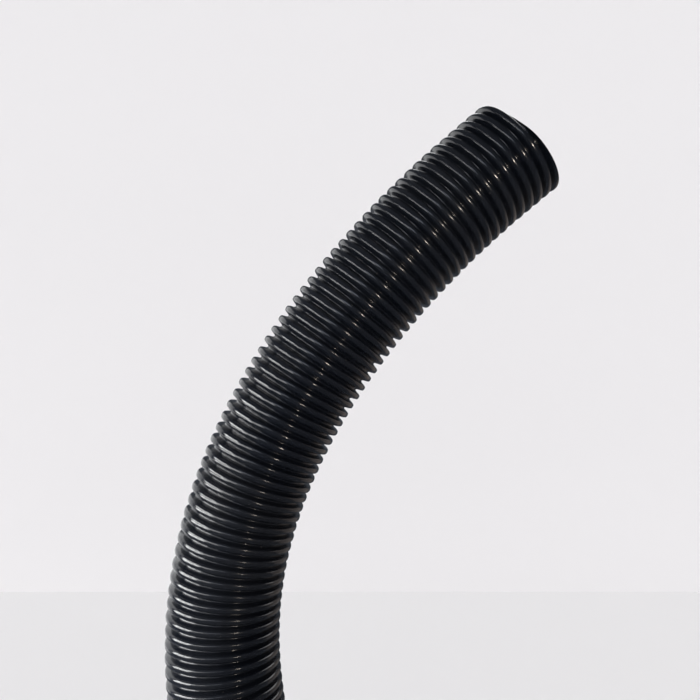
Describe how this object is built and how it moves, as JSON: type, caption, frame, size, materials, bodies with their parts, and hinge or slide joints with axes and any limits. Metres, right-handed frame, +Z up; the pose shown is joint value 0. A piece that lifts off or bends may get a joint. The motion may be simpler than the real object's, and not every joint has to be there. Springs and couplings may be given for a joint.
{
  "type": "vacuum hose",
  "caption": "Corrugated black vacuum hose, wound in a tied coil with its plain open end standing up and a swivel cuff on its other end.",
  "frame": {"origin": "centre of the overall box, on the floor that the tied coil rests on", "axes": "+Z up; +Y along the cuff's axis, out of its socket; the open end stands at the +Y side and leans towards +X"},
  "size_m": [0.6023, 0.6028, 0.4865],
  "materials": {
    "hose": "near-black glossy corrugated plastic",
    "cuff": "satin black moulded plastic",
    "seal": "black rubber",
    "nylon": "natural nylon",
    "clip": "stainless spring steel",
    "strap": "black woven webbing",
    "buckle": "black moulded plastic"
  },
  "bodies": {
    "base": {"hose_coil": "hose", "hose_riser": "hose", "hose_flex": "hose", "hose_lead": "hose", "cuff_collar": "cuff", "slip_washer": "nylon", "seal_ring": "seal", "retaining_clip": "clip", "coil_tie_1": "strap", "coil_tie_2": "strap", "coil_tie_3": "strap", "tie_buckle_1": "buckle", "tie_buckle_2": "buckle", "tie_buckle_3": "buckle"},
    "free_end": {"hose_upper": "hose", "hose_mouth": "hose"},
    "swivel": {"swivel_cuff": "cuff"}
  },
  "joints": [
    {"name": "free_end_bend", "type": "hinge", "parent": "base", "child": "free_end", "pos_m": [-0.09926, 0.27407, 0.30665], "axis": [0, 1, 0], "range_deg": [-25, 15], "stiffness_Nm_per_rad": 3, "springref_deg": -0.74, "deforming": ["hose_flex"]},
    {"name": "cuff_swivel", "type": "hinge", "parent": "base", "child": "swivel", "pos_m": [-0.2738, 0.2835, 0.0287], "axis": [0, 1, 0], "continuous": true}
  ]
}
